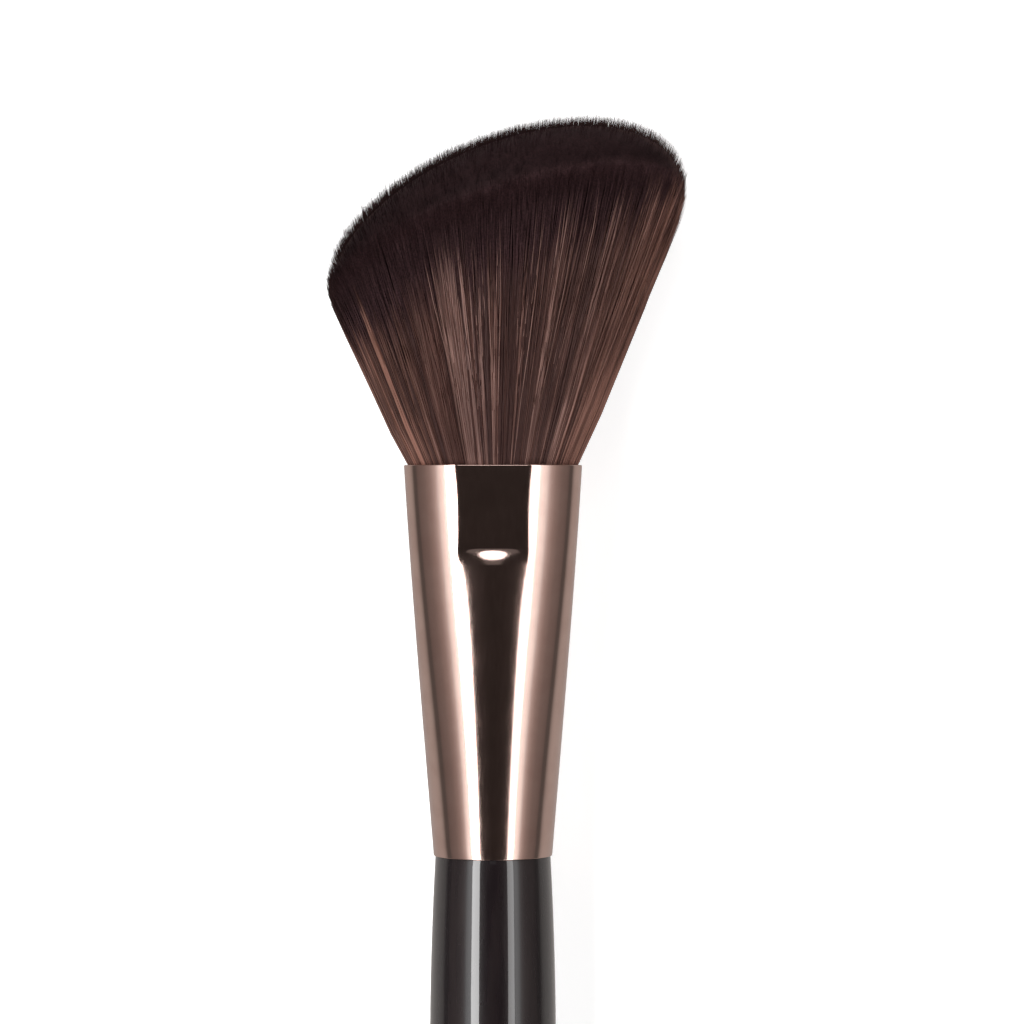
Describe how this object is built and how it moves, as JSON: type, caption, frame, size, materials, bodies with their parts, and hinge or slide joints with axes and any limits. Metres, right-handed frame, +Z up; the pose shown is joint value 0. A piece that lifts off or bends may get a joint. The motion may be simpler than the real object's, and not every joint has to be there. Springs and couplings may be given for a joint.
{
  "type": "blush brush",
  "caption": "Angled blush brush lying flat: wide fan of soft dark hair, oval pressed metal ferrule and turned black lacquered handle.",
  "frame": {"origin": "on the table, under the middle of the lying brush's box", "axes": "+Y along the brush from the handle's tail to the hair, +Z up off the table, +X towards the longer side of the angled hair"},
  "size_m": [0.0358, 0.1796, 0.0195],
  "materials": {
    "handle_lacquer": "turned hardwood under near-black gloss lacquer",
    "ferrule_metal": "polished, with a rose-bronze tone",
    "resin": "cured amber resin",
    "hair": "fine soft hair, brown at the root and nearly black at the tip"
  },
  "bodies": {
    "root": {"handle": "handle_lacquer", "ferrule": "ferrule_metal", "glue_plug": "resin", "bristle_tuft": "hair"}
  },
  "joints": []
}
